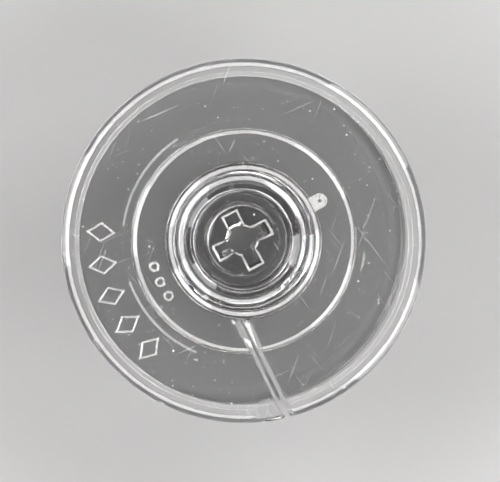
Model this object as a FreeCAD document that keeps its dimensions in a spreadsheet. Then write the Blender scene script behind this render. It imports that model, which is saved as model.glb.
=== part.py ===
"""Clear plastic take-apart sewing bobbin: a slotted upper section screwed onto a threaded lower section.

Frame: millimetres, +Z up along the winding axis, origin on that axis at the underside of the lower flange.
"""
import FreeCAD, Part
import math
import os
import re

import Sketcher

# Every driving dimension: alias, value in mm (degrees for the angles), meaning
DIMENSIONS = [
    ("lower_radius", 12.1, "outer radius of the lower flange"),
    ("lower_thickness", 0.95, "thickness of the lower flange"),
    ("lower_edge_round", 0.22, "rounding of the lower flange's two rim edges"),
    ("upper_radius", 12.7, "outer radius of the upper flange, one inch across"),
    ("upper_underside", 9.5, "height of the upper flange's underside"),
    ("upper_surface", 10.4, "height of the upper flange's outer ring surface"),
    ("bead_inner", 11.5, "radius where the rim bead starts to rise"),
    ("bead_crown", 11.75, "radius where the bead reaches its full height"),
    ("bead_rise", 0.4, "height of the rim bead above the flange"),
    ("rim_round", 0.34, "rounding of the upper flange's rim, above and below"),
    ("bead_soft", 0.12, "rounding of the bead's inner edges"),
    ("land_radius", 7.45, "radius of the raised middle land's top edge"),
    ("land_foot", 7.93, "radius where the land's slope meets the flange"),
    ("land_rise", 0.22, "height of the middle land above the flange"),
    ("land_soft", 0.12, "rounding of the land's edges"),
    ("sleeve_radius", 5.3, "outer radius of the sleeve, which the thread is wound on"),
    ("sleeve_bore", 4.58, "radius at the root of the sleeve's inner thread"),
    ("sleeve_gap", 0.03, "gap between the sleeve's end and the lower flange"),
    ("sleeve_fillet", 0.3, "fillet between the sleeve and the upper flange"),
    ("mouth_radius", 4.98, "radius of the well's mouth in the upper flange"),
    ("mouth_chamfer", 0.3, "width of the chamfer round the mouth"),
    ("mouth_drop", 0.14, "drop of the chamfer round the mouth"),
    ("mouth_depth", 1.03, "depth of the mouth's straight wall below its chamfer"),
    ("mouth_cone", 0.25, "height of the cone between the mouth and the sleeve's bore"),
    ("core_radius", 4.1, "radius at the root of the core's outer thread"),
    ("core_top", 8.95, "height of the core's top edge"),
    ("core_chamfer", 0.1, "chamfer on the outside of the core's top edge"),
    ("core_cone", 0.35, "height of the cone from the core's top edge into the well"),
    ("well_top", 3.45, "radius of the core's well below its cone"),
    ("well_bottom", 3.25, "radius of the core's well at its floor"),
    ("well_floor", 5.0, "height of the well's floor"),
    ("boss_bottom", 2.66, "radius of the central drive boss at the well's floor"),
    ("boss_side", 2.62, "radius of the drive boss below its sloping edge"),
    ("boss_top", 2.4, "radius of the drive boss's flat top face"),
    ("boss_drop", 0.1, "drop of the sloping edge round the boss's top face"),
    ("boss_height", 8.3, "height of the drive boss's top face"),
    ("hole_radius", 0.96, "radius of the spindle hole"),
    ("hole_chamfer", 0.12, "chamfer at the lower end of the spindle hole"),
    ("flare_width", 0.15, "width of the flare round the top of the hole and its notches"),
    ("flare_drop", 0.07, "drop of the flare round the top of the hole and its notches"),
    ("notch_reach", 2.0, "distance from the axis to the end of a drive notch, below its flare"),
    ("notch_width", 0.95, "width of a drive notch below its flare"),
    ("notch_draft", 0.1, "how much nearer each wall of a drive notch stands at its floor"),
    ("notch_depth", 2.4, "depth of the four drive notches below the boss's top face"),
    ("through_reach", 1.74, "distance from the axis to the end of a through notch"),
    ("through_width", 0.7, "width of a through notch"),
    ("notch_turn", 27.0, "direction of the first drive notch from +X"),
    ("thread_pitch", 1.0, "rise of the thread in one turn"),
    ("thread_height", 4.0, "rise of the whole thread"),
    ("thread_start", 3.2, "height of the core thread's lower end"),
    ("thread_depth", 0.4, "radial depth of both threads"),
    ("thread_root", 0.5, "width of a thread ridge at its root"),
    ("thread_crest", 0.2, "width of a thread ridge at its crest"),
    ("thread_embed", 0.05, "how far a thread ridge is sunk into its wall"),
    ("thread_play", 0.125, "how far the sleeve's ridge stands above the middle of the core's gap"),
    ("slot_turn", -64.3, "direction of the thread slot from +X"),
    ("slot_offset", -2.56, "sideways distance of the slot's centreline from the axis"),
    ("slot_start", 4.83, "distance along the slot to its closed end"),
    ("slot_end", 13.4, "distance along the slot to a point outside the rim"),
    ("slot_mouth", 0.41, "half width of the slot's V at the flange's surface"),
    ("slot_root", 0.04, "half width of the slot's V at the flange's underside"),
    ("slit_inner", 0.05, "half width of the slit through the V's root, at the closed end"),
    ("slit_outer", 0.17, "half width of the slit through the V's root, at the rim"),
    ("slot_above", 0.6, "how far the slot's cutter stands above the flange"),
    ("slot_below", 0.1, "how far the slot's cutter reaches below the flange"),
    ("scoop_turn", -78.0, "direction of the lead-in scoop in the rim bead from +X"),
    ("scoop_start", 11.3, "distance from the axis where the scoop starts"),
    ("scoop_length", 2.0, "length of the scoop along the rim"),
    ("scoop_radius", 4.7, "radius of the scoop's curved floor"),
    ("scoop_floor", 0.02, "height of the scoop's lowest line above the flange"),
    ("gate_turn", 28.0, "direction of the moulding gate's tab from +X"),
    ("gate_centre", 5.95, "distance from the axis to the middle of the gate tab's round end"),
    ("gate_gap", 0.02, "gap between the gate tab and the mouth's chamfer"),
    ("gate_width", 1.04, "width of the gate tab"),
    ("gate_rise", 0.14, "height of the gate tab above the land"),
    ("pit_radius", 0.13, "radius of the pit in the gate tab"),
    ("pit_depth", 0.3, "depth of the pit in the gate tab"),
    ("mark_first", 176.5, "direction of the first raised lozenge from +X"),
    ("mark_span", 52.0, "angle from the first raised lozenge to the last"),
    ("mark_count", 5, "number of raised lozenges"),
    ("mark_centre", 9.98, "distance from the axis to the middle of a lozenge"),
    ("mark_length", 1.05, "half the radial length of a lozenge"),
    ("mark_width", 0.68, "half the width of a lozenge"),
    ("mark_line", 0.24, "how much smaller the lozenge's inner outline is at its tips"),
    ("mark_rise", 0.13, "height of the raised lozenges and pips"),
    ("pip_first", 196.0, "direction of the first raised pip from +X"),
    ("pip_span", 20.0, "angle from the first raised pip to the last"),
    ("pip_count", 3, "number of raised pips"),
    ("pip_centre", 6.5, "distance from the axis to a pip"),
    ("pip_radius", 0.36, "outer radius of a pip"),
    ("pip_hollow", 0.2, "inner radius of a pip"),
]

LOOSEST_VERTEX = 0.01  # mm, the most that a vertex of a finished shape may stand off its edges

doc = FreeCAD.newDocument("bobbin")
sheet = doc.addObject("Spreadsheet::Sheet", "dims")
for row, (alias, value, meaning) in enumerate(DIMENSIONS, start=1):
    sheet.set(f"A{row}", meaning)
    sheet.set(f"B{row}", str(value))
    sheet.setAlias(f"B{row}", alias)
doc.recompute()

ALIASES = {alias for alias, _, _ in DIMENSIONS}
gauge = doc.addObject("App::FeaturePython", "gauge")
gauge.addProperty("App::PropertyFloat", "Reading")


def bound(formula):
    """The formula over aliases, with each alias written as a cell of the sheet."""
    return re.sub(r"[a-z_]+", lambda m: f"dims.{m[0]}" if m[0] in ALIASES else m[0], formula)


def value_of(formula):
    """The number that a formula over aliases stands for now."""
    gauge.setExpression("Reading", bound(formula))
    gauge.recompute()
    return gauge.Reading


def set_bound(thing, prop, formula, unit=""):
    """Bind a property of an object, or a named constraint of a sketch, to a formula over aliases."""
    thing.setExpression(prop, f"({bound(formula)}){unit}")


def new_body(label):
    body = doc.addObject("PartDesign::Body", label)
    body.Label = label
    return body


def origin_feature(body, role):
    """One of the body's own origin planes or axes, by its role."""
    return next(feature for feature in body.Origin.OriginFeatures if feature.Role == role)


def new_sketch(body, name, role="XY_Plane", lift=None, turn=None):
    """A sketch on an origin plane of the body, lifted along Z and turned about Z by formulas."""
    sketch = body.newObject("Sketcher::SketchObject", name)
    sketch.AttachmentSupport = (origin_feature(body, role), [""])
    sketch.MapMode = "FlatFace"
    if turn:
        sketch.AttachmentOffset = FreeCAD.Placement(
            FreeCAD.Vector(), FreeCAD.Rotation(FreeCAD.Vector(0, 0, 1), value_of(turn))
        )
        set_bound(sketch, "AttachmentOffset.Rotation.Angle", turn, " * 1 deg")
    if lift:
        set_bound(sketch, "AttachmentOffset.Base.z", lift, " * 1 mm")
    return sketch


def pin_point(sketch, geo, end, x_formula, y_formula):
    """Hold one point of a sketch at formulas for its two coordinates."""
    for kind, formula, axis in (("DistanceX", x_formula, -2), ("DistanceY", y_formula, -1)):
        if formula == "0":
            sketch.addConstraint(Sketcher.Constraint("PointOnObject", geo, end, axis))
            continue
        number = value_of(formula)
        index = sketch.addConstraint(Sketcher.Constraint(kind, -1, 1, geo, end, number))
        set_bound(sketch, f"Constraints[{index}]", formula, " * 1 mm")


def draw_polygon(sketch, corners):
    """A closed polygon whose corners are pairs of formulas."""
    points = [FreeCAD.Vector(value_of(x), value_of(y), 0) for x, y in corners]
    first = sketch.GeometryCount
    for here, there in zip(points, points[1:] + points[:1]):
        sketch.addGeometry(Part.LineSegment(here, there), False)
    for step, (x, y) in enumerate(corners):
        line = first + step
        following = first + (step + 1) % len(corners)
        sketch.addConstraint(Sketcher.Constraint("Coincident", line, 2, following, 1))
        pin_point(sketch, line, 1, x, y)


def draw_circle(sketch, x_formula, y_formula, radius_formula):
    centre = FreeCAD.Vector(value_of(x_formula), value_of(y_formula), 0)
    circle = Part.Circle(centre, FreeCAD.Vector(0, 0, 1), value_of(radius_formula))
    geo = sketch.addGeometry(circle, False)
    pin_point(sketch, geo, 3, x_formula, y_formula)
    index = sketch.addConstraint(Sketcher.Constraint("Radius", geo, circle.Radius))
    set_bound(sketch, f"Constraints[{index}]", radius_formula, " * 1 mm")


def draw_arc(sketch, centre, radius_formula, start, end):
    """An arc about a pinned centre, between two angles in degrees; pinned ends then hold its radius."""
    middle = FreeCAD.Vector(value_of(centre[0]), value_of(centre[1]), 0)
    circle = Part.Circle(middle, FreeCAD.Vector(0, 0, 1), value_of(radius_formula))
    arc = Part.ArcOfCircle(circle, math.radians(start), math.radians(end))
    geo = sketch.addGeometry(arc, False)
    pin_point(sketch, geo, 3, *centre)
    return geo


def revolve(body, name, corners):
    """Turn a polygon of (radius, height) formulas once round the Z axis."""
    sketch = new_sketch(body, name + "_profile", "XZ_Plane")
    draw_polygon(sketch, corners)
    feature = body.newObject("PartDesign::Revolution", name)
    feature.Profile = sketch
    feature.ReferenceAxis = (sketch, ["V_Axis"])
    feature.Angle = 360.0
    doc.recompute()
    return feature


def ring_edges(feature, radius_formula, height_formula):
    """Names of the feature's full circular edges of a radius at a height."""
    radius, height = value_of(radius_formula), value_of(height_formula)
    found = []
    for number, edge in enumerate(feature.Shape.Edges, start=1):
        curve = edge.Curve
        if isinstance(curve, Part.Circle) and abs(curve.Radius - radius) < 1e-4:
            if abs(curve.Center.z - height) < 1e-4:
                found.append(f"Edge{number}")
    if not found:
        raise RuntimeError(f"{feature.Name} has no ring edge at {radius_formula}, {height_formula}")
    return found


def round_rings(body, name, rings, radius_formula):
    """Round the ring edges listed as (radius, height) formulas, on the body's newest feature."""
    base = body.Tip
    edges = [edge for ring in rings for edge in ring_edges(base, *ring)]
    feature = body.newObject("PartDesign::Fillet", name)
    feature.Base = (base, edges)
    set_bound(feature, "Radius", radius_formula, " * 1 mm")
    doc.recompute()
    return feature


def raise_pad(body, name, sketch, height_formula):
    feature = body.newObject("PartDesign::Pad", name)
    feature.Profile = sketch
    set_bound(feature, "Length", height_formula, " * 1 mm")
    doc.recompute()
    return feature


def cut_pocket(body, name, sketch, depth_formula, reverse=False):
    """Cut a sketch below its plane, or above it when reversed, and insist that it removed material."""
    before = body.Shape.Volume
    feature = body.newObject("PartDesign::Pocket", name)
    feature.Profile = sketch
    feature.Reversed = reverse
    set_bound(feature, "Length", depth_formula, " * 1 mm")
    doc.recompute()
    if body.Shape.Volume >= before:
        raise RuntimeError(f"{name} cut nothing")
    return feature


def cut_loft(body, name, sections):
    """Cut a straight-sided loft through sketches, and insist that it removed material."""
    before = body.Shape.Volume
    feature = body.newObject("PartDesign::SubtractiveLoft", name)
    feature.Profile = sections[0]
    feature.Sections = sections[1:]
    feature.Ruled = True
    doc.recompute()
    if body.Shape.Volume >= before:
        raise RuntimeError(f"{name} cut nothing")
    return feature


def repeat_round(body, name, feature, angle_formula, count_formula):
    """Repeat a feature about Z over an angle, first and last included."""
    pattern = body.newObject("PartDesign::PolarPattern", name)
    pattern.Originals = [feature]
    pattern.Axis = (origin_feature(body, "Z_Axis"), [""])
    set_bound(pattern, "Angle", angle_formula, " * 1 deg")
    set_bound(pattern, "Occurrences", count_formula)
    body.Tip = pattern
    doc.recompute()
    return pattern


def add_thread(body, name, wall, crest, middle):
    """A right-hand thread ridge on a wall radius, standing to a crest radius, from a middle height.

    The ridge is sunk a little into the wall, and its base is drawn wider to match its sloping flanks.
    """
    outward = value_of(crest) > value_of(wall)
    sunk = f"{wall} - thread_embed" if outward else f"{wall} + thread_embed"
    half_crest = "thread_crest / 2"
    half_root = (
        "thread_root / 2 + thread_embed * (thread_root - thread_crest) / (2 * thread_depth)"
    )
    sketch = new_sketch(body, name + "_profile", "XZ_Plane")
    draw_polygon(sketch, [
        (sunk, f"{middle} - ({half_root})"),
        (crest, f"{middle} - {half_crest}"),
        (crest, f"{middle} + {half_crest}"),
        (sunk, f"{middle} + ({half_root})"),
    ])
    helix = body.newObject("PartDesign::AdditiveHelix", name)
    helix.Profile = sketch
    helix.ReferenceAxis = (sketch, ["V_Axis"])
    helix.Mode = 0
    helix.LeftHanded = False
    helix.Reversed = False
    set_bound(helix, "Pitch", "thread_pitch", " * 1 mm")
    set_bound(helix, "Height", "thread_height", " * 1 mm")
    doc.recompute()
    return helix


def make_lower_section():
    """Lower flange with the threaded core, the stepped well and the notched drive boss in it."""
    body = new_body("lower_section")
    revolve(body, "flange_and_core", [
        ("hole_radius + hole_chamfer", "0"),
        ("lower_radius", "0"),
        ("lower_radius", "lower_thickness"),
        ("core_radius", "lower_thickness"),
        ("core_radius", "core_top - core_chamfer"),
        ("core_radius - core_chamfer", "core_top"),
        ("well_top", "core_top - core_cone"),
        ("well_bottom", "well_floor"),
        ("boss_bottom", "well_floor"),
        ("boss_side", "boss_height - boss_drop"),
        ("boss_top", "boss_height"),
        ("hole_radius + flare_width", "boss_height"),
        ("hole_radius", "boss_height - flare_drop"),
        ("hole_radius", "hole_chamfer"),
    ])
    round_rings(body, "rim_round", [("lower_radius", "0"), ("lower_radius", "lower_thickness")],
                "lower_edge_round")
    add_thread(body, "core_thread", "core_radius", "core_radius + thread_depth", "thread_start")
    cut_drive_notches(body)
    cut_through_notches(body)
    return body


def draw_notch(sketch, reach, half):
    """A rectangle from inside the spindle hole out to a reach, given with its half width as formulas."""
    draw_polygon(sketch, [
        ("hole_radius / 2", f"0 - ({half})"),
        (reach, f"0 - ({half})"),
        (reach, half),
        ("hole_radius / 2", half),
    ])


def cut_drive_notches(body):
    """Four blind notches round the spindle hole, with drafted walls and a flare at the boss's top face."""
    levels = (
        ("drive_notch_floor", "boss_height - notch_depth", "0 - notch_draft"),
        ("drive_notch_wall", "boss_height - flare_drop", "0"),
        ("drive_notch_flare", "boss_height + flare_drop", "2 * flare_width"),
    )
    sections = []
    for name, lift, wider in levels:
        sketch = new_sketch(body, name, lift=lift, turn="notch_turn")
        draw_notch(sketch, f"notch_reach + ({wider})", f"notch_width / 2 + ({wider})")
        sections.append(sketch)
    notch = cut_loft(body, "drive_notch", sections)
    repeat_round(body, "drive_notch_set", notch, "270", "4")


def cut_through_notches(body):
    """Two opposite notches of the four go right through the lower section."""
    sketch = new_sketch(body, "through_notch_outline", lift="boss_height", turn="notch_turn")
    draw_notch(sketch, "through_reach", "through_width / 2")
    notch = cut_pocket(body, "through_notch", sketch, "boss_height")
    repeat_round(body, "through_notch_set", notch, "180", "2")


def make_upper_section():
    """Slotted upper flange with its rim bead and middle land, on the sleeve that is wound with thread."""
    body = new_body("upper_section")
    land_top = "upper_surface + land_rise"
    mouth_floor = f"{land_top} - mouth_drop - mouth_depth"
    sleeve_end = "lower_thickness + sleeve_gap"
    bead_top = "upper_surface + bead_rise"
    revolve(body, "flange_and_sleeve", [
        ("sleeve_bore", sleeve_end),
        ("sleeve_radius", sleeve_end),
        ("sleeve_radius", "upper_underside"),
        ("upper_radius", "upper_underside"),
        ("upper_radius", bead_top),
        ("bead_crown", bead_top),
        ("bead_inner", "upper_surface"),
        ("land_foot", "upper_surface"),
        ("land_radius", land_top),
        ("mouth_radius + mouth_chamfer", land_top),
        ("mouth_radius", f"{land_top} - mouth_drop"),
        ("mouth_radius", mouth_floor),
        ("sleeve_bore", f"{mouth_floor} - mouth_cone"),
    ])
    round_rings(body, "rim_edges_round",
                [("upper_radius", "upper_underside"), ("upper_radius", bead_top)], "rim_round")
    round_rings(body, "bead_inner_round", [("bead_crown", bead_top), ("bead_inner", "upper_surface")],
                "bead_soft")
    round_rings(body, "land_round", [("land_foot", "upper_surface"), ("land_radius", land_top)],
                "land_soft")
    round_rings(body, "sleeve_round", [("sleeve_radius", "upper_underside")], "sleeve_fillet")
    add_thread(body, "sleeve_thread", "sleeve_bore", "sleeve_bore - thread_depth",
               "thread_start + thread_pitch / 2 + thread_play")
    cut_slot(body)
    cut_scoop(body)
    add_marks(body)
    add_gate(body)
    return body


def upright_sketch(body, name, turn, distance):
    """A sketch that faces out along a direction, at a distance from the axis, with its Y upwards."""
    sketch = body.newObject("Sketcher::SketchObject", name)
    sketch.AttachmentSupport = (origin_feature(body, "XZ_Plane"), [""])
    sketch.MapMode = "FlatFace"
    spin = FreeCAD.Rotation(FreeCAD.Vector(0, 1, 0), value_of(f"{turn} + 90"))
    away = spin.multVec(FreeCAD.Vector(0, 0, value_of(distance)))
    sketch.AttachmentOffset = FreeCAD.Placement(away, spin)
    set_bound(sketch, "AttachmentOffset.Rotation.Angle", f"{turn} + 90", " * 1 deg")
    return sketch


def cut_slot(body):
    """The thread slot, off the radius, from the sleeve out through the rim: a V with a slit at its root."""
    corners = []
    for side, lift in (
        (-1, "upper_underside - slot_below"),
        (1, "upper_underside - slot_below"),
        (1, "upper_surface + slot_above"),
        (-1, "upper_surface + slot_above"),
    ):
        share = f"({lift} - upper_underside) / (upper_surface - upper_underside)"
        corners.append((f"slot_offset + {side} * (slot_root + (slot_mouth - slot_root) * {share})", lift))
    section = upright_sketch(body, "slot_section", "slot_turn", "slot_start")
    draw_polygon(section, corners)
    cut_pocket(body, "thread_slot", section, "slot_end - slot_start", reverse=True)

    outline = new_sketch(body, "slit_outline", lift="upper_surface + slot_above", turn="slot_turn")
    draw_polygon(outline, [
        ("slot_start", "slot_offset - slit_inner"),
        ("slot_end", "slot_offset - slit_outer"),
        ("slot_end", "slot_offset + slit_outer"),
        ("slot_start", "slot_offset + slit_inner"),
    ])
    depth = "upper_surface - upper_underside + slot_above + slot_below"
    cut_pocket(body, "thread_slit", outline, depth)


def cut_scoop(body):
    """The lead-in beside the slot's mouth, where a curved scoop takes the rim bead down to the flange."""
    sketch = upright_sketch(body, "scoop_outline", "scoop_turn", "scoop_start")
    floor = "upper_surface + scoop_floor"
    lowest_angle = 270
    sweep = math.degrees(math.asin(value_of("scoop_length / scoop_radius")))
    arc = draw_arc(sketch, ("0", f"{floor} + scoop_radius"), "scoop_radius",
                   lowest_angle - sweep, lowest_angle)
    top = f"{floor} + scoop_radius - sqrt(scoop_radius ^ 2 - scoop_length ^ 2)"
    start = FreeCAD.Vector(-value_of("scoop_length"), value_of(top), 0)
    corner = FreeCAD.Vector(0, value_of(top), 0)
    lowest = FreeCAD.Vector(0, value_of(floor), 0)
    across = sketch.addGeometry(Part.LineSegment(start, corner), False)
    down = sketch.addGeometry(Part.LineSegment(corner, lowest), False)
    sketch.addConstraint(Sketcher.Constraint("Coincident", arc, 1, across, 1))
    sketch.addConstraint(Sketcher.Constraint("Coincident", across, 2, down, 1))
    sketch.addConstraint(Sketcher.Constraint("Coincident", down, 2, arc, 2))
    sketch.addConstraint(Sketcher.Constraint("Horizontal", across))
    pin_point(sketch, down, 1, "0", top)
    pin_point(sketch, down, 2, "0", floor)
    cut_pocket(body, "rim_scoop", sketch, "upper_radius", reverse=True)


def add_marks(body):
    """Plain raised lozenges near the rim and three small raised rings on the land."""
    lozenge = new_sketch(body, "lozenge_outline", lift="upper_surface", turn="mark_first")
    for inset in ("0", "mark_line"):
        draw_polygon(lozenge, [
            (f"mark_centre - mark_length + {inset}", "0"),
            ("mark_centre", f"0 - mark_width + {inset} * mark_width / mark_length"),
            (f"mark_centre + mark_length - {inset}", "0"),
            ("mark_centre", f"mark_width - {inset} * mark_width / mark_length"),
        ])
    pad = raise_pad(body, "lozenge", lozenge, "mark_rise")
    repeat_round(body, "lozenge_row", pad, "mark_span", "mark_count")

    pip = new_sketch(body, "pip_outline", lift="upper_surface + land_rise", turn="pip_first")
    draw_circle(pip, "pip_centre", "0", "pip_radius")
    draw_circle(pip, "pip_centre", "0", "pip_hollow")
    pad = raise_pad(body, "pip", pip, "mark_rise")
    repeat_round(body, "pip_row", pad, "pip_span", "pip_count")


def add_gate(body):
    """The tab left by the moulding gate, with a pit in it, beside the well's mouth."""
    inner = "mouth_radius + mouth_chamfer + gate_gap"
    half = "gate_width / 2"
    sketch = new_sketch(body, "gate_outline", lift="upper_surface + land_rise", turn="gate_turn")
    corners = [
        ("gate_centre", half),
        (inner, half),
        (inner, f"0 - {half}"),
        ("gate_centre", f"0 - {half}"),
    ]
    points = [FreeCAD.Vector(value_of(x), value_of(y), 0) for x, y in corners]
    lines = [sketch.addGeometry(Part.LineSegment(here, there), False)
             for here, there in zip(points, points[1:])]
    arc = draw_arc(sketch, ("gate_centre", "0"), half, -90, 90)
    for line, corner in zip(lines, corners):
        pin_point(sketch, line, 1, *corner)
    for line, following in zip(lines, lines[1:]):
        sketch.addConstraint(Sketcher.Constraint("Coincident", line, 2, following, 1))
    sketch.addConstraint(Sketcher.Constraint("Coincident", lines[-1], 2, arc, 1))
    sketch.addConstraint(Sketcher.Constraint("Coincident", lines[0], 1, arc, 2))
    sketch.addConstraint(Sketcher.Constraint("Vertical", arc, 3, arc, 1))
    raise_pad(body, "gate_tab", sketch, "gate_rise")

    pit = new_sketch(body, "pit_outline", lift="upper_surface + land_rise + gate_rise",
                     turn="gate_turn")
    draw_circle(pit, "gate_centre", "0", "pit_radius")
    cut_pocket(body, "gate_pit", pit, "pit_depth")


def write_parts(bodies):
    """Check the whole document and each section's shape, then write one STEP file for each section."""
    doc.recompute()
    failed = [o.Name for o in doc.Objects if {"Invalid", "Error"} & set(o.State)]
    if failed:
        raise RuntimeError(f"failed objects: {failed}")
    for body in bodies:
        shape = body.Shape
        if shape.isNull() or not shape.isValid() or len(shape.Solids) != 1:
            raise RuntimeError(f"{body.Label} isn't one valid solid")
        if shape.getTolerance(1, Part.Vertex) > LOOSEST_VERTEX:
            raise RuntimeError(f"{body.Label} has a loose vertex")
    os.makedirs("parts", exist_ok=True)
    for body in bodies:
        body.Shape.exportStep(f"parts/{body.Label}.step")
        box = body.Shape.optimalBoundingBox()
        print(f"{body.Label}: {body.Shape.Volume:.2f} mm3, z {box.ZMin:.3f} to {box.ZMax:.3f}, "
              f"x {box.XMin:.3f} to {box.XMax:.3f}")


write_parts([make_lower_section(), make_upper_section()])
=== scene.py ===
"""Looks for the clear plastic take-apart sewing bobbin: meshes, materials, floor, light and camera."""
import math

import bmesh
import bpy
from mathutils import Matrix, Vector


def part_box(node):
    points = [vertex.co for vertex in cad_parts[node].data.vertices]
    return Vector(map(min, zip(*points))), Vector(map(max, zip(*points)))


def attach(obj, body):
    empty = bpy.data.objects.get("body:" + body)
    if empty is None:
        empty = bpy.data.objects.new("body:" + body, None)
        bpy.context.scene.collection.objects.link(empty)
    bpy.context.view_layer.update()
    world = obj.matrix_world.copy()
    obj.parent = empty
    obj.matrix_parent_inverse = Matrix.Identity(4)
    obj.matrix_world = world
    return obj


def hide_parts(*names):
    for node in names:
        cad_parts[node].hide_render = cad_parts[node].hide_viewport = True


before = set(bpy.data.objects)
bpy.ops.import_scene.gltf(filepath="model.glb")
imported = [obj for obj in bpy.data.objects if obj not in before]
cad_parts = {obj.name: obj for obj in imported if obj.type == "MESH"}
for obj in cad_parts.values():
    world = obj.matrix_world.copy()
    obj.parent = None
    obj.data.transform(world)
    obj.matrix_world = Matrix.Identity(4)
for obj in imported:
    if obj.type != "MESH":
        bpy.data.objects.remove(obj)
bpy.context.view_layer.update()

MM = 0.001
TURN = 2 * math.pi
SEGMENTS = 320  # steps round every turned surface
ROUND_STEPS = 7  # steps round every rounded corner
SMOOTH_BEND = 24  # degrees that an edge may bend and still be shaded smooth
SAME_POINT = 1e-5  # points of one mesh that lie closer than this are merged

# Sizes in millimetres: radii from the winding axis, heights above the lower flange's underside.
# Turns are directions in degrees from +X.
UPPER_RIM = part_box("upper_section")[1].x / MM
BEAD_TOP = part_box("upper_section")[1].z / MM
SLEEVE_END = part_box("upper_section")[0].z / MM
LOWER_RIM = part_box("lower_section")[1].x / MM
CORE_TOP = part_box("lower_section")[1].z / MM
SLOPE = math.tan(math.radians(25))  # of the moulded edges that catch the light

# roundings of the moulded edges
FINE = 0.03
EDGE = 0.05
LAND_ROUND = 0.08
SOFT = 0.1
BEAD_ROUND = 0.12
FILLET = 0.15
WIDE = 0.2
RIM_ROUND = 0.22
BROAD = 0.3

# the lower section's flange and threaded core, with the well, the boss and the drive hole in it
SEAT_GAP = 0.03
LOWER_TOP = SLEEVE_END - SEAT_GAP
CORE = 4.1
CORE_CHAMFER = 0.1
WELL_TOP = 3.45
WELL_TOP_DROP = 0.35
WELL_BOTTOM = 3.25
WELL_FLOOR = 5.0
BOSS_FOOT = 2.66
BOSS_SIDE = 2.62
BOSS_CROWN = 2.4
BOSS_DROP = 0.1
BOSS_TOP = 8.3
HOLE = 0.96
HOLE_CHAMFER = 0.12
FLARE = 0.15  # width of the sloping edge round the top of the hole and its notches
FLARE_DROP = FLARE * SLOPE
NOTCH_TURNS = [27, 117, 207, 297]
NOTCH_START = 0.8  # inside the hole, where the cutters begin
NOTCH_HALF = 0.475
NOTCH_REACH = 2.0
NOTCH_DEPTH = 2.4
NOTCH_DRAFT = 0.1
THROUGH_HALF = 0.35
THROUGH_REACH = 1.74

# the upper section's flange, from its rim bead in to the land and the mouth, and its sleeve
BEAD_SHOULDER = 12.15
BEAD_DROP = 0.25
BEAD_CROWN = 11.75
BEAD_FOOT = 11.5
SURFACE = BEAD_TOP - 0.4
UNDERSIDE = SURFACE - 0.9
GROOVE_OUTER = 8.55
GROOVE_INNER = 7.75
GROOVE_SLOPES = (0.2, 0.1)  # widths of its outer and inner slopes
GROOVE_FLOOR = SURFACE - 0.08
LAND_RADIUS = 7.45
LAND_TOP = SURFACE + 0.22
LAND_DROP = 0.14
MOUTH = 4.98
MOUTH_CHAMFER = 0.3
MOUTH_EDGE = LAND_TOP - 0.14
MOUTH_FLOOR = MOUTH_EDGE - 1.03
MOUTH_CONE = 0.25
SLEEVE = 5.3
SLEEVE_BORE = 4.58

PITCH = 1.0
THREAD_TURNS = 4
THREAD_START = 3.2
THREAD_DEPTH = 0.4
THREAD_PLAY = 0.125
THREAD_MARGIN = 0.5  # from the middle of the first and last ridge to the ends of the threaded wall
FADE_RATE = 6  # the ridge reaches its full depth in a sixth of a turn

SLOT_TURN = -64.3
SLOT_OFFSET = -2.56
SLOT_START = 4.83
SLOT_END = 13.4
SLOT_ROOT = 0.04  # half width of the slot's V at the underside
SLOT_MOUTH = (0.43, 0.36)  # half widths at the surface, at the closed end and at the rim
SLIT = (0.05, 0.17)  # half widths of the slit at the V's root, at the same two ends
SCOOP_TURN = -78
SCOOP_START = 11.3
SCOOP_LENGTH = 2.0
SCOOP_RADIUS = 4.7
SCOOP_FLOOR = SURFACE + 0.02
SCOOP_STEPS = 16
BEYOND = 0.2  # how far a cutter reaches past the surface that it opens

GATE_TURN = 28
GATE_CENTRE = 5.95
GATE_WIDTH = 1.04
GATE_RISE = 0.14
GATE_GAP = 0.02  # between the mouth's chamfer and the gate tab
PIT = 0.13
PIT_DEPTH = 0.3
ARC_STEPS = 24

MARK_RISE = 0.13
SUNK = 0.05  # how far a raised detail reaches into the surface under it
MARK_TURNS = [176.5 + 13 * k for k in range(5)]
MARK_CENTRE = 9.98
MARK_LENGTH = 1.05
MARK_WIDTH = 0.68
MARK_LINE = 0.13
LINE_SLOPE = 0.45  # share of a raised line's width that each of its two slopes takes
PIP_TURNS = [196 + 10 * k for k in range(3)]
PIP_CENTRE = 6.5
PIP = 0.36
PIP_LINE = 0.16
PIP_STEPS = 40

# one ridge of the thread: distance from its middle, and height as a share of its depth
RIDGE = [(-0.29, 0), (-0.25, 0.05), (-0.21, 0.24), (-0.13, 0.8), (-0.1, 0.95), (-0.06, 1), (0, 1),
         (0.06, 1), (0.1, 0.95), (0.13, 0.8), (0.21, 0.24), (0.25, 0.05), (0.29, 0), (0.5, 0)]

FROST = 0.8  # how white the torn gate is at most, where 1 is a speck of dust


# ---------------------------------------------------------------- mesh building

def rounded(corners):
    """A closed (radius, height) outline whose corners (radius, height, rounding) are rounded by arcs."""
    outline = []
    for step, (r, z, rounding) in enumerate(corners):
        here = Vector((r, z))
        before = (Vector(corners[step - 1][:2]) - here).normalized()
        after = (Vector(corners[(step + 1) % len(corners)][:2]) - here).normalized()
        if not rounding:
            outline.append((r, z))
            continue
        half = before.angle(after) / 2
        middle = here + (before + after).normalized() * (rounding / math.sin(half))
        start = here + before * (rounding / math.tan(half)) - middle
        sweep = start.angle_signed(here + after * (rounding / math.tan(half)) - middle)
        for k in range(ROUND_STEPS + 1):
            point = middle + Matrix.Rotation(-sweep * k / ROUND_STEPS, 2) @ start
            outline.append((point.x, point.y))
    return outline


def polar(radius, angle, height):
    return Vector((radius * math.cos(angle), radius * math.sin(angle), height))


def ring(radius, height):
    return [polar(radius, TURN * k / SEGMENTS, height) for k in range(SEGMENTS)]


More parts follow.
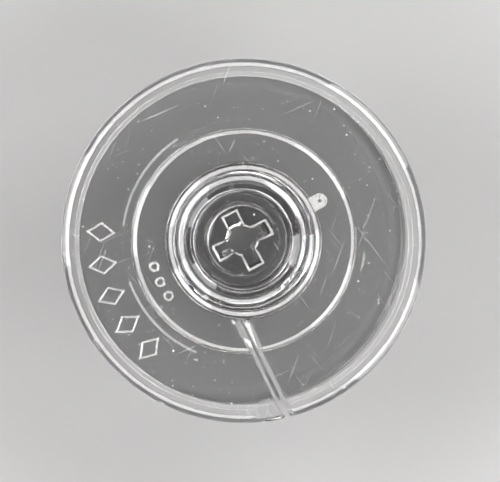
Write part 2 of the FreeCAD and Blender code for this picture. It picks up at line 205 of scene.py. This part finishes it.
def loft(loops, closed=False):
    """A mesh through loops of equally many points, capped at both ends, or closed from last to first."""
    mesh = bmesh.new()
    rows = [[mesh.verts.new(point) for point in loop] for loop in loops]
    pairs = list(zip(rows, rows[1:] + rows[:1] if closed else rows[1:]))
    for lower, upper in pairs:
        for k in range(len(lower)):
            following = (k + 1) % len(lower)
            mesh.faces.new((lower[k], lower[following], upper[following], upper[k]))
    if not closed:
        mesh.faces.new(reversed(rows[0]))
        mesh.faces.new(rows[-1])
    bmesh.ops.recalc_face_normals(mesh, faces=mesh.faces)
    return mesh


def thread_wall(mesh, wall, crest, middle, low, high):
    """The threaded stretch of a turned wall between two heights, with its ridge fading in and out."""
    rows = []
    first_turn = -2  # starts below the stretch, where the rows are held together at its lower end
    for turn in range(first_turn, THREAD_TURNS + 1):
        for offset, share in RIDGE:
            row = []
            for k in range(SEGMENTS + 1):
                along = turn + k / SEGMENTS
                fade = min(max(min(along, THREAD_TURNS - along) * FADE_RATE, 0), 1)
                height = middle + along * PITCH + offset
                radius = wall + (crest - wall) * share * fade
                point = polar(radius, TURN * k / SEGMENTS, min(max(height, low), high))
                row.append(mesh.verts.new(point))
            rows.append(row)
    for lower, upper in zip(rows, rows[1:]):
        for k in range(SEGMENTS):
            mesh.faces.new((lower[k], lower[k + 1], upper[k + 1], upper[k]))


def turned(outline, wall, crest, middle, low, high):
    """A solid of revolution, with a thread on the straight stretch of its wall between low and high."""
    mesh = bmesh.new()
    rows = [[mesh.verts.new(point) for point in ring(radius, height)] for radius, height in outline]
    for here in range(len(rows)):
        there = (here + 1) % len(rows)
        if {outline[here], outline[there]} == {(wall, low), (wall, high)}:
            continue
        for k in range(SEGMENTS):
            following = (k + 1) % SEGMENTS
            mesh.faces.new((rows[here][k], rows[here][following], rows[there][following], rows[there][k]))
    thread_wall(mesh, wall, crest, middle, low, high)
    bmesh.ops.remove_doubles(mesh, verts=mesh.verts, dist=SAME_POINT)
    bmesh.ops.recalc_face_normals(mesh, faces=mesh.faces)
    return mesh


def as_object(name, mesh):
    """A Blender object, in metres, from a bmesh in millimetres."""
    bmesh.ops.scale(mesh, vec=(MM, MM, MM), verts=mesh.verts)
    data = bpy.data.meshes.new(name)
    mesh.to_mesh(data)
    mesh.free()
    made = bpy.data.objects.new(name, data)
    bpy.context.scene.collection.objects.link(made)
    return made


def joined(meshes):
    """One bmesh out of several that don't touch."""
    whole = bmesh.new()
    for mesh in meshes:
        data = bpy.data.meshes.new("part")
        mesh.to_mesh(data)
        mesh.free()
        whole.from_mesh(data)
        bpy.data.meshes.remove(data)
    return whole


def combine(target, operation, meshes):
    """Union the meshes with the target, or cut them out of it."""
    tool = as_object("tool", joined(meshes))
    modifier = target.modifiers.new("combine", "BOOLEAN")
    modifier.operation = operation
    modifier.solver = "MANIFOLD"
    modifier.object = tool
    keep_result(target)
    bpy.data.objects.remove(tool)


def keep_result(target):
    """Make what the object's modifiers give its own mesh."""
    shown = target.evaluated_get(bpy.context.evaluated_depsgraph_get())
    result = bpy.data.meshes.new_from_object(shown)
    target.modifiers.clear()
    old = target.data
    target.data = result
    bpy.data.meshes.remove(old)


def finish_piece(target, body, node_name, material):
    """Shade a piece smoothly between its edges, and let it stand for its CAD node."""
    target.data.shade_smooth()
    target.data.set_sharp_from_angle(angle=math.radians(SMOOTH_BEND))
    modifier = target.modifiers.new("normals", "WEIGHTED_NORMAL")
    modifier.keep_sharp = True
    modifier.weight = 80
    keep_result(target)
    target.data.materials.clear()
    target.data.materials.append(material)
    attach(target, body)
    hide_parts(node_name)


def turned_loop(points, direction, height):
    """A flat loop of (along, across) points, laid along a direction in degrees at a height."""
    spin = Matrix.Rotation(math.radians(direction), 3, "Z")
    return [spin @ Vector((x, y, height)) for x, y in points]


def arc_points(centre, radius, start, end, steps):
    """Points (along, across) on an arc about a point that lies at a distance along."""
    angles = [math.radians(start + (end - start) * k / steps) for k in range(steps + 1)]
    return [(centre + radius * math.cos(angle), radius * math.sin(angle)) for angle in angles]


def shaped(outline, steps, direction, surface, closed=False):
    """A solid through outline(inset) at each (inset, height above the surface), laid along a direction."""
    loops = [turned_loop(outline(inset), direction, surface + height) for inset, height in steps]
    return loft(loops, closed)


def raised_frame(outline, line, direction, surface):
    """A raised line round an outline, with a slope along both of its top edges."""
    slope = LINE_SLOPE * line
    low = MARK_RISE - slope * SLOPE
    steps = [(0, -SUNK), (0, low), (slope, MARK_RISE),
             (line - slope, MARK_RISE), (line, low), (line, -SUNK)]
    return shaped(outline, steps, direction, surface, closed=True)


# ---------------------------------------------------------------- the two sections

def lower_mesh():
    thread_low = THREAD_START - THREAD_MARGIN
    thread_high = THREAD_START + THREAD_TURNS * PITCH + THREAD_MARGIN
    flange = [(HOLE + HOLE_CHAMFER, 0, FINE), (LOWER_RIM, 0, RIM_ROUND),
              (LOWER_RIM, LOWER_TOP, RIM_ROUND)]
    core = [(CORE, LOWER_TOP, EDGE), (CORE, thread_low, 0), (CORE, thread_high, 0),
            (CORE, CORE_TOP - CORE_CHAMFER, FINE), (CORE - CORE_CHAMFER, CORE_TOP, FINE)]
    well = [(WELL_TOP, CORE_TOP - WELL_TOP_DROP, SOFT), (WELL_BOTTOM, WELL_FLOOR, FILLET)]
    boss = [(BOSS_FOOT, WELL_FLOOR, SOFT), (BOSS_SIDE, BOSS_TOP - BOSS_DROP, EDGE),
            (BOSS_CROWN, BOSS_TOP, EDGE)]
    hole = [(HOLE + FLARE, BOSS_TOP, FINE), (HOLE, BOSS_TOP - FLARE_DROP, FINE),
            (HOLE, HOLE_CHAMFER, FINE)]
    outline = rounded(flange + core + well + boss + hole)
    return turned(outline, CORE, CORE + THREAD_DEPTH, THREAD_START, thread_low, thread_high)


def notch(levels, direction):
    """A cutter for a notch, through (height, reach, half width) levels, that starts inside the hole."""
    loops = []
    for height, reach, half in levels:
        points = [(NOTCH_START, -half), (reach, -half), (reach, half), (NOTCH_START, half)]
        loops.append(turned_loop(points, direction, height))
    return loft(loops)


def make_lower_section(material):
    piece = as_object("lower_section_clear", lower_mesh())
    drive = [(BOSS_TOP - NOTCH_DEPTH, NOTCH_REACH - NOTCH_DRAFT, NOTCH_HALF - NOTCH_DRAFT),
             (BOSS_TOP - FLARE_DROP, NOTCH_REACH, NOTCH_HALF),
             (BOSS_TOP + FLARE_DROP, NOTCH_REACH + 2 * FLARE, NOTCH_HALF + 2 * FLARE)]
    through = [(-BEYOND, THROUGH_REACH, THROUGH_HALF), (BOSS_TOP + BEYOND, THROUGH_REACH, THROUGH_HALF)]
    combine(piece, "DIFFERENCE", [notch(drive, turn) for turn in NOTCH_TURNS])
    combine(piece, "DIFFERENCE", [notch(through, turn) for turn in NOTCH_TURNS[::2]])
    finish_piece(piece, "lower", "lower_section", material)


def upper_mesh():
    thread_middle = THREAD_START + PITCH / 2 + THREAD_PLAY
    thread_low = thread_middle - THREAD_MARGIN
    thread_high = thread_middle + THREAD_TURNS * PITCH + THREAD_MARGIN
    sleeve = [(SLEEVE_BORE, SLEEVE_END, EDGE), (SLEEVE, SLEEVE_END, EDGE), (SLEEVE, UNDERSIDE, BROAD)]
    bead = [(UPPER_RIM, UNDERSIDE, BROAD), (UPPER_RIM, BEAD_TOP - BEAD_DROP, WIDE),
            (BEAD_SHOULDER, BEAD_TOP, SOFT), (BEAD_CROWN, BEAD_TOP, BEAD_ROUND),
            (BEAD_FOOT, SURFACE, BEAD_ROUND)]
    groove = [(GROOVE_OUTER, SURFACE, SOFT), (GROOVE_OUTER - GROOVE_SLOPES[0], GROOVE_FLOOR, SOFT),
              (GROOVE_INNER + GROOVE_SLOPES[1], GROOVE_FLOOR, SOFT)]
    land = [(GROOVE_INNER, LAND_TOP - LAND_DROP, LAND_ROUND), (LAND_RADIUS, LAND_TOP, SOFT)]
    mouth = [(MOUTH + MOUTH_CHAMFER, LAND_TOP, EDGE), (MOUTH, MOUTH_EDGE, EDGE),
             (MOUTH, MOUTH_FLOOR, FILLET)]
    bore = [(SLEEVE_BORE, MOUTH_FLOOR - MOUTH_CONE, SOFT), (SLEEVE_BORE, thread_high, 0),
            (SLEEVE_BORE, thread_low, 0)]
    outline = rounded(sleeve + bead + groove + land + mouth + bore)
    crest = SLEEVE_BORE - THREAD_DEPTH
    return turned(outline, SLEEVE_BORE, crest, thread_middle, thread_low, thread_high)


def slot_cutter(levels):
    """A cutter along the slot, through levels: (height, half width at the closed end, and at the rim)."""
    loops = []
    for height, inner, outer in levels:
        points = [(SLOT_START, SLOT_OFFSET - inner), (SLOT_END, SLOT_OFFSET - outer),
                  (SLOT_END, SLOT_OFFSET + outer), (SLOT_START, SLOT_OFFSET + inner)]
        loops.append(turned_loop(points, SLOT_TURN, height))
    return loft(loops)


def scoop_cutter():
    """The curved lead-in that takes the bead down to the flange, clockwise of the slot's mouth."""
    across = [-SCOOP_LENGTH * k / SCOOP_STEPS for k in range(SCOOP_STEPS + 1)]
    section = [(y, SCOOP_FLOOR + SCOOP_RADIUS - math.sqrt(SCOOP_RADIUS ** 2 - y ** 2)) for y in across]
    section.append((0, section[-1][1]))
    spin = Matrix.Rotation(math.radians(SCOOP_TURN), 3, "Z")
    return loft([[spin @ Vector((r, y, z)) for y, z in section] for r in (SCOOP_START, SLOT_END)])


def lozenge(inset):
    """A lozenge's corners, with its sides moved in by the inset."""
    share = 1 - inset * math.hypot(MARK_LENGTH, MARK_WIDTH) / (MARK_LENGTH * MARK_WIDTH)
    along, across = MARK_LENGTH * share, MARK_WIDTH * share
    return [(MARK_CENTRE - along, 0), (MARK_CENTRE, -across),
            (MARK_CENTRE + along, 0), (MARK_CENTRE, across)]


def pip(inset):
    return arc_points(PIP_CENTRE, PIP - inset, 0, 360, PIP_STEPS)[:-1]


def gate_tab(inset):
    """The gate tab's outline: straight out from the mouth's chamfer, with a round end."""
    half = GATE_WIDTH / 2 - inset
    start = MOUTH + MOUTH_CHAMFER + GATE_GAP + inset
    return [(start, -half), *arc_points(GATE_CENTRE, half, -90, 90, ARC_STEPS), (start, half)]


def gate_pit(inset):
    return arc_points(GATE_CENTRE, PIT - inset, 0, 360, ARC_STEPS)[:-1]


def make_upper_section(material):
    piece = as_object("upper_section_clear", upper_mesh())
    details = [raised_frame(lozenge, MARK_LINE, turn, SURFACE) for turn in MARK_TURNS]
    details += [raised_frame(pip, PIP_LINE, turn, LAND_TOP) for turn in PIP_TURNS]
    tab_steps = [(0, -SUNK), (0, GATE_RISE - EDGE), (EDGE, GATE_RISE)]
    details.append(shaped(gate_tab, tab_steps, GATE_TURN, LAND_TOP))
    combine(piece, "UNION", details)
    pit_steps = [(0, GATE_RISE - PIT_DEPTH), (0, GATE_RISE + BEYOND)]
    combine(piece, "DIFFERENCE", [shaped(gate_pit, pit_steps, GATE_TURN, LAND_TOP)])
    top = BEAD_TOP + BEYOND
    rise = (top - UNDERSIDE) / (SURFACE - UNDERSIDE)
    mouth = [SLOT_ROOT + (half - SLOT_ROOT) * rise for half in SLOT_MOUTH]
    combine(piece, "DIFFERENCE", [slot_cutter([(UNDERSIDE, SLOT_ROOT, SLOT_ROOT), (top, *mouth)])])
    combine(piece, "DIFFERENCE", [slot_cutter([(UNDERSIDE - BEYOND, *SLIT), (top, *SLIT)])])
    combine(piece, "DIFFERENCE", [scoop_cutter()])
    finish_piece(piece, "upper", "upper_section", material)


# ---------------------------------------------------------------- materials

def new_material(name):
    material = bpy.data.materials.new(name)
    material.use_nodes = True
    return material, material.node_tree, material.node_tree.nodes["Principled BSDF"]


def add_node(tree, kind, inputs, **options):
    """A shader node: an input that is given a socket is linked, and any other value is set."""
    made = tree.nodes.new("ShaderNode" + kind)
    for name, value in options.items():
        setattr(made, name, value)
    for name, value in inputs.items():
        if isinstance(value, bpy.types.NodeSocket):
            tree.links.new(value, made.inputs[name])
        else:
            made.inputs[name].default_value = value
    return made


def compute(tree, operation, first, second):
    return add_node(tree, "Math", {0: first, 1: second}, operation=operation, use_clamp=True).outputs[0]


def step(tree, value, low, high, low_result=0, high_result=1):
    """A value carried from one range to another, and held at its ends."""
    return add_node(tree, "MapRange", {
        "Value": value, "From Min": low, "From Max": high,
        "To Min": low_result, "To Max": high_result}).outputs["Result"]


def hairlines(tree, place, seed):
    """Fine straight scratches in three directions: the crests of a noise stretched along each."""
    stretch = (4.5 * MM, 0.13 * MM, 1.5 * MM)  # along, across and through a scratch
    total = 0
    for k, turn in enumerate((23, 71, 128)):
        stretched = add_node(tree, "Mapping", {
            "Vector": place, "Location": ((seed + k) * 0.1, 0, 0), "Rotation": (0, 0, math.radians(turn)),
            "Scale": stretch}, vector_type="TEXTURE")
        grain = add_node(tree, "TexNoise", {"Vector": stretched.outputs[0], "Scale": 1.0, "Detail": 0.0})
        total = compute(tree, "ADD", total, step(tree, grain.outputs["Fac"], 0.76, 0.84))
    patches = add_node(tree, "TexNoise", {"Vector": place, "Scale": 260.0, "Detail": 1.0})
    return compute(tree, "MULTIPLY", total, step(tree, patches.outputs["Fac"], 0.45, 0.7))


def dust(tree, place, spacing, share, size):
    """Specks in a share of the cells of a grid with that spacing in mm; size is a share of the cell."""
    cells = add_node(tree, "TexVoronoi", {"Vector": place, "Scale": 1 / (spacing * MM)})
    spot = step(tree, cells.outputs["Distance"], size * 0.6, size, 1, 0)
    chosen = add_node(tree, "SeparateColor", {"Color": cells.outputs["Color"]})
    return compute(tree, "MULTIPLY", spot, step(tree, chosen.outputs[0], 1 - share, 1.05 - share))


def gate_frost(tree, place):
    """The torn gate: frosted only on the tab that stands above the land near its place."""
    middle = polar(GATE_CENTRE, math.radians(GATE_TURN), LAND_TOP) * MM
    away = add_node(tree, "VectorMath", {0: place, 1: middle}, operation="DISTANCE").outputs["Value"]
    height = add_node(tree, "SeparateXYZ", {0: place}).outputs["Z"]
    reach = 0.8
    near = step(tree, away, reach * MM, (reach + EDGE) * MM, 1, 0)
    above = step(tree, height, (LAND_TOP + 0.02) * MM, (LAND_TOP + 0.08) * MM)
    mottle = add_node(tree, "TexNoise", {"Vector": place, "Scale": 5200.0, "Detail": 3.0})
    white = step(tree, mottle.outputs["Fac"], 0.4, 0.6, 0.5, FROST)
    return compute(tree, "MULTIPLY", compute(tree, "MULTIPLY", near, above), white)


def clear_plastic(name, seed, gate):
    """Clear polished plastic with hairline scratches, dust and a faint moulded waviness."""
    material, tree, shader = new_material(name)
    place = add_node(tree, "TexCoord", {}).outputs["Object"]
    scratches = hairlines(tree, place, seed)
    specks = compute(tree, "ADD", dust(tree, place, 0.8, 0.3, 0.09), dust(tree, place, 0.35, 0.12, 0.12))
    marks = compute(tree, "MAXIMUM", compute(tree, "MULTIPLY", scratches, 0.3), specks)
    if gate:
        frost = gate_frost(tree, place)
        marks = compute(tree, "MAXIMUM", marks, frost)
        tree.links.new(step(tree, frost, 0, FROST, 0.98, 0.45), shader.inputs["Base Color"])
    tree.links.new(step(tree, marks, 0, 1, 1, 0.12), shader.inputs["Transmission Weight"])
    tree.links.new(step(tree, marks, 0, 1, 0.015, 0.5), shader.inputs["Roughness"])
    waves = add_node(tree, "TexNoise", {"Vector": place, "Scale": 420.0, "Detail": 1.0})
    heights = compute(tree, "SUBTRACT", waves.outputs["Fac"], compute(tree, "MULTIPLY", marks, 0.2))
    bump = add_node(tree, "Bump", {"Height": heights, "Strength": 0.35, "Distance": 0.01 * MM})
    tree.links.new(bump.outputs["Normal"], shader.inputs["Normal"])
    shader.inputs["Base Color"].default_value = (0.985, 0.985, 0.995, 1)
    shader.inputs["IOR"].default_value = 1.58
    return material


def pale_floor():
    material, tree, shader = new_material("floor_pale")
    place = add_node(tree, "TexCoord", {}).outputs["Object"]
    cloudy = add_node(tree, "TexNoise", {"Vector": place, "Scale": 9.0, "Detail": 3.0})
    shade = step(tree, cloudy.outputs["Fac"], 0.3, 0.7, 0.29, 0.31)
    tree.links.new(shade, shader.inputs["Base Color"])
    shader.inputs["Roughness"].default_value = 0.9
    shader.inputs["Specular IOR Level"].default_value = 0.1
    return material


# ---------------------------------------------------------------- floor, light and camera

def add_floor():
    bpy.ops.mesh.primitive_plane_add(size=1.2, location=(0, 0, -0.01 * MM))
    floor = bpy.context.object
    floor.name = "floor"
    floor.data.materials.append(pale_floor())


def add_area(azimuth):
    """A square soft box that faces the bobbin, at an azimuth in degrees from +X."""
    elevation = math.radians(40)
    distance = 0.3
    toward = polar(math.cos(elevation), math.radians(azimuth), math.sin(elevation))
    data = bpy.data.lights.new(f"patch_{azimuth}", "AREA")
    data.shape = "SQUARE"
    data.size = 0.16
    data.energy = 0.5
    light = bpy.data.objects.new(data.name, data)
    light.location = toward * distance
    light.rotation_euler = (-toward).to_track_quat("-Z", "Y").to_euler()
    bpy.context.scene.collection.objects.link(light)


def add_world():
    """A light tent round a leaning axis: bright low down and in one ring, dim everywhere else.

    Every moulded slope of about 25 degrees mirrors the ring into the camera, and the flat faces
    mirror the dim part above it.
    """
    world = bpy.data.worlds.new("studio")
    world.use_nodes = True
    tree = world.node_tree
    lean = math.radians(2.1)
    axis = polar(math.sin(lean), math.radians(-30), math.cos(lean))
    direction = add_node(tree, "TexCoord", {}).outputs["Generated"]
    height = add_node(tree, "VectorMath", {0: direction, 1: axis}, operation="DOT_PRODUCT")
    ramp = add_node(tree, "ValToRGB", {"Fac": height.outputs["Value"]})
    stops = ramp.color_ramp.elements
    stops.remove(stops[-1])
    stops[0].color = warm_white(0.3)
    for sine, level in [(0.08, 0.3), (0.16, 0.01), (0.58, 0.01), (0.6, 1), (0.66, 1), (0.68, 0.01)]:
        stops.new(sine).color = warm_white(level)
    back = tree.nodes["Background"]
    tree.links.new(ramp.outputs["Color"], back.inputs["Color"])
    back.inputs["Strength"].default_value = 11.5
    bpy.context.scene.world = world
    bpy.context.scene.view_settings.view_transform = "Standard"


def warm_white(level):
    return level, 0.98 * level, 0.97 * level, 1


def add_camera():
    """Almost straight above, leaning a little to the upper left, with +Y up in the picture."""
    distance = 0.22
    lean = math.radians(2.5)
    back = polar(math.sin(lean), math.radians(150), math.cos(lean))
    right = Vector((0, 1, 0)).cross(back).normalized()
    data = bpy.data.cameras.new("camera")
    data.lens = 227.9
    data.shift_x = 0.0116
    data.clip_start = 0.01
    camera = bpy.data.objects.new("camera", data)
    place = Vector((0, 0, BEAD_TOP * MM)) + back * distance
    turn = Matrix((right, back.cross(right), back)).transposed()
    camera.matrix_world = Matrix.Translation(place) @ turn.to_4x4()
    bpy.context.scene.collection.objects.link(camera)
    bpy.context.scene.camera = camera


make_lower_section(clear_plastic("clear_plastic_lower", 5, gate=False))
make_upper_section(clear_plastic("clear_plastic_upper", 11, gate=True))
add_floor()
add_world()
for azimuth in (-32, 40, 170):
    add_area(azimuth)
add_camera()
